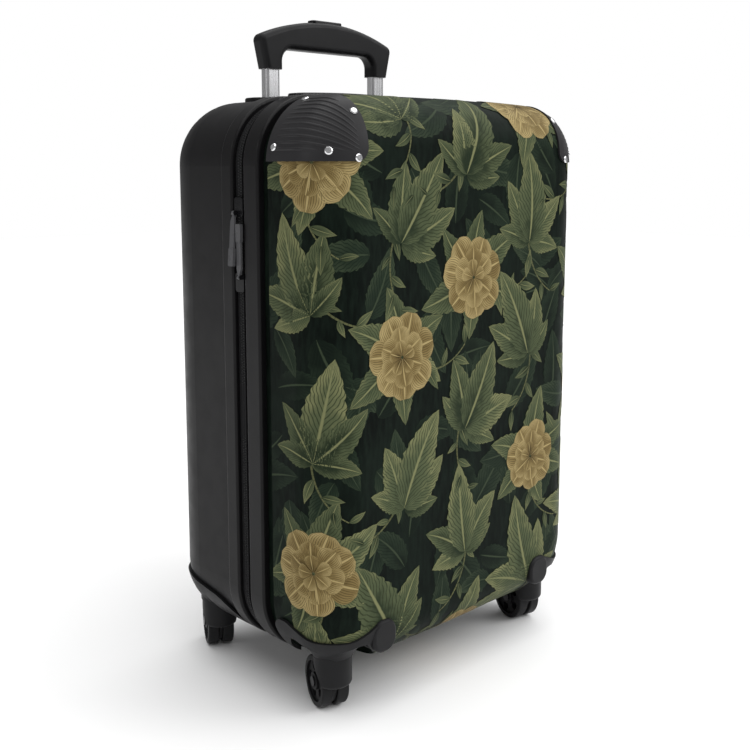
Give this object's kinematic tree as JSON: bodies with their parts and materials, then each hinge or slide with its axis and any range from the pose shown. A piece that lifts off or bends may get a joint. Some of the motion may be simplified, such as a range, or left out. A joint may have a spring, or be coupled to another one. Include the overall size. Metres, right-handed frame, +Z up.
{
  "type": "cabin suitcase",
  "caption": "Hard-shell cabin suitcase that opens at a zip into two hinged halves, with a telescopic pull handle, a top carry handle and swivelling twin-wheel casters.",
  "frame": {"origin": "on the floor under the middle of the case, where the wheels stand", "axes": "+X to the right seen from the printed front, +Y to the back, +Z up"},
  "size_m": [0.3635, 0.2556, 0.6358],
  "materials": {
    "shell_black": "fine moulded grain, satin",
    "print_shell": "printed film under satin clear coat",
    "rim_black": "satin moulded",
    "trim_black": "satin moulded",
    "guard_black": "ribbed, satin",
    "housing_black": "fine grain, satin",
    "wheel_black": "satin",
    "grip_black": "soft satin",
    "gloss_black": "gloss",
    "zip_tape": "woven tape with nylon coil",
    "hinge_cloth": "woven",
    "lining": "woven",
    "tube_aluminium": "satin anodised",
    "rivet_metal": "bright",
    "spring_steel": "bright",
    "slider_metal": "black enamel",
    "pull_grey": "gunmetal"
  },
  "bodies": {
    "rear_half": {"rear_shell": "shell_black", "rear_rim": "rim_black", "rear_zip_tape": "zip_tape", "hinge_cloth_rear": "hinge_cloth", "handle_bezel": "trim_black", "tube_foot": "trim_black", "carry_handle_plate": "trim_black", "back_lining": "lining", "outer_tube_left": "tube_aluminium", "outer_tube_right": "tube_aluminium", "wheel_housing_rear_left": "housing_black", "wheel_housing_rear_right": "housing_black"},
    "front_half": {"front_shell": "print_shell", "front_rim": "rim_black", "front_zip_tape": "zip_tape", "hinge_cloth_front": "hinge_cloth", "corner_guard_left": "guard_black", "corner_guard_right": "guard_black", "guard_rivets": "rivet_metal", "wheel_housing_front_left": "housing_black", "wheel_housing_front_right": "housing_black"},
    "carry_handle": {"carry_handle": "gloss_black"},
    "middle_tubes": {"middle_tube_left": "tube_aluminium", "middle_tube_right": "tube_aluminium"},
    "grip": {"inner_tube_left": "tube_aluminium", "inner_tube_right": "tube_aluminium", "grip": "grip_black", "button_spring": "spring_steel"},
    "push_button": {"push_button": "gloss_black"},
    "upper_slider": {"zip_slider_upper": "slider_metal"},
    "upper_pull": {"zip_pull_upper": "pull_grey"},
    "lower_slider": {"zip_slider_lower": "slider_metal"},
    "lower_pull": {"zip_pull_lower": "pull_grey"},
    "caster_front_left": {"caster_fork_front_left": "housing_black"},
    "wheels_front_left": {"wheel_front_left_outer": "wheel_black", "wheel_front_left_inner": "wheel_black", "axle_front_left": "rivet_metal"},
    "caster_rear_left": {"caster_fork_rear_left": "housing_black"},
    "wheels_rear_left": {"wheel_rear_left_outer": "wheel_black", "wheel_rear_left_inner": "wheel_black", "axle_rear_left": "rivet_metal"},
    "caster_front_right": {"caster_fork_front_right": "housing_black"},
    "wheels_front_right": {"wheel_front_right_outer": "wheel_black", "wheel_front_right_inner": "wheel_black", "axle_front_right": "rivet_metal"},
    "caster_rear_right": {"caster_fork_rear_right": "housing_black"},
    "wheels_rear_right": {"wheel_rear_right_outer": "wheel_black", "wheel_rear_right_inner": "wheel_black", "axle_rear_right": "rivet_metal"}
  },
  "joints": [
    {"name": "case_hinge", "type": "hinge", "parent": "rear_half", "child": "front_half", "pos_m": [0.1798, -0.009, 0.3], "axis": [0, 0, 1], "range_deg": [0, 180]},
    {"name": "handle_first_stage", "type": "slide", "parent": "rear_half", "child": "middle_tubes", "axis": [0, 0, 1], "range_m": [0, 0.2]},
    {"name": "handle_second_stage", "type": "slide", "parent": "middle_tubes", "child": "grip", "axis": [0, 0, 1], "range_m": [-0.027, 0.19]},
    {"name": "button_press", "type": "slide", "parent": "grip", "child": "push_button", "axis": [0, 0, 1], "range_m": [-0.003, 0], "stiffness_N_per_m": 900, "springref_m": 0.002, "deforming": ["button_spring"]},
    {"name": "carry_handle_lift", "type": "slide", "parent": "rear_half", "child": "carry_handle", "axis": [0, 0, 1], "range_m": [0, 0.018]},
    {"name": "upper_slider_run", "type": "slide", "parent": "rear_half", "child": "upper_slider", "axis": [0, 0, 1], "range_m": [0, 0.024]},
    {"name": "lower_slider_run", "type": "slide", "parent": "rear_half", "child": "lower_slider", "axis": [0, 0, 1], "range_m": [-0.27, 0]},
    {"name": "upper_pull_swing", "type": "hinge", "parent": "upper_slider", "child": "upper_pull", "pos_m": [-0.17955, -0.0058, 0.4485], "axis": [0, 1, 0], "range_deg": [0, 150]},
    {"name": "lower_pull_swing", "type": "hinge", "parent": "lower_slider", "child": "lower_pull", "pos_m": [-0.17955, -0.0122, 0.392], "axis": [0, 1, 0], "range_deg": [-150, 0]},
    {"name": "caster_swivel_front_left", "type": "hinge", "parent": "front_half", "child": "caster_front_left", "pos_m": [-0.139, -0.0875, 0.054], "axis": [0, 0, 1], "continuous": true},
    {"name": "wheel_spin_front_left", "type": "hinge", "parent": "caster_front_left", "child": "wheels_front_left", "pos_m": [-0.13387, -0.0734, 0.0235], "axis": [0.9397, -0.342, 0], "continuous": true},
    {"name": "caster_swivel_rear_left", "type": "hinge", "parent": "rear_half", "child": "caster_rear_left", "pos_m": [-0.139, 0.087, 0.054], "axis": [0, 0, 1], "continuous": true},
    {"name": "wheel_spin_rear_left", "type": "hinge", "parent": "caster_rear_left", "child": "wheels_rear_left", "pos_m": [-0.13219, 0.10037, 0.0235], "axis": [0.891, -0.454, 0], "continuous": true},
    {"name": "caster_swivel_front_right", "type": "hinge", "parent": "front_half", "child": "caster_front_right", "pos_m": [0.139, -0.0875, 0.054], "axis": [0, 0, 1], "continuous": true},
    {"name": "wheel_spin_front_right", "type": "hinge", "parent": "caster_front_right", "child": "wheels_front_right", "pos_m": [0.14263, -0.07295, 0.0235], "axis": [0.9703, -0.2419, 0], "continuous": true},
    {"name": "caster_swivel_rear_right", "type": "hinge", "parent": "rear_half", "child": "caster_rear_right", "pos_m": [0.139, 0.087, 0.054], "axis": [0, 0, 1], "continuous": true},
    {"name": "wheel_spin_rear_right", "type": "hinge", "parent": "caster_rear_right", "child": "wheels_rear_right", "pos_m": [0.14109, 0.10185, 0.0235], "axis": [0.9903, -0.1392, 0], "continuous": true}
  ]
}
